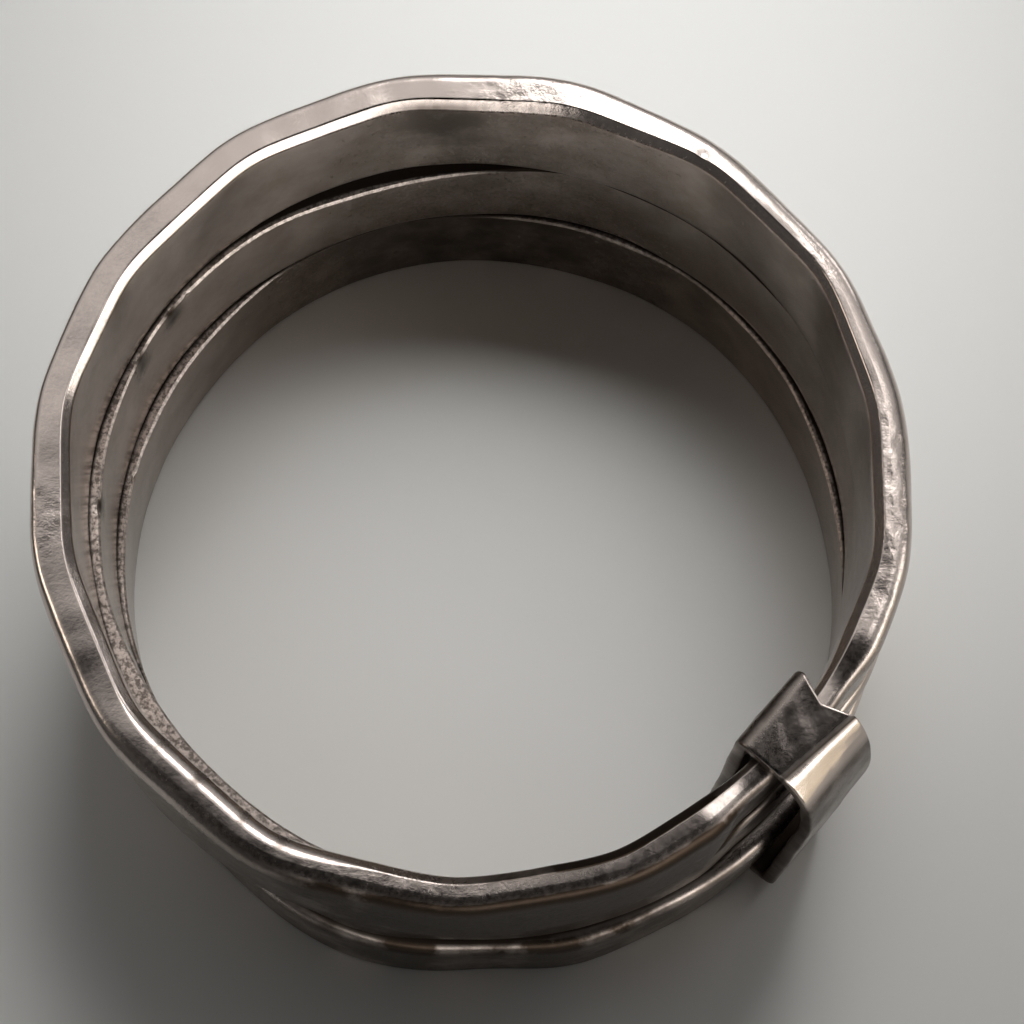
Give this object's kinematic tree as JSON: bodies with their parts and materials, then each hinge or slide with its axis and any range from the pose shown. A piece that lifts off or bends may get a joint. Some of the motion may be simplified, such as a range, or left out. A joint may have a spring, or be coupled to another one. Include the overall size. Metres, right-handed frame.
{
  "type": "finger ring",
  "caption": "Wide hand-hammered silver ring: stacked hoops with faceted rims, held together by a bent sheet sleeve that is open at its ends.",
  "frame": {"origin": "centre of the ring's outline at its filed foot, where it rests", "axes": "+Z along the finger's axis, from the foot to the hammered rim; +X to the picture's right; the sleeve is 39 degrees below +X, towards -Y"},
  "size_m": [0.0194, 0.0194, 0.0092],
  "materials": {
    "hammered_silver": "worn polished silver, hammered, brown tarnish in the seams",
    "sheet_silver": "worn polished silver sheet"
  },
  "bodies": {
    "root": {"band_bottom": "hammered_silver", "band_middle": "hammered_silver", "band_top": "hammered_silver", "sleeve": "sheet_silver"}
  },
  "joints": []
}
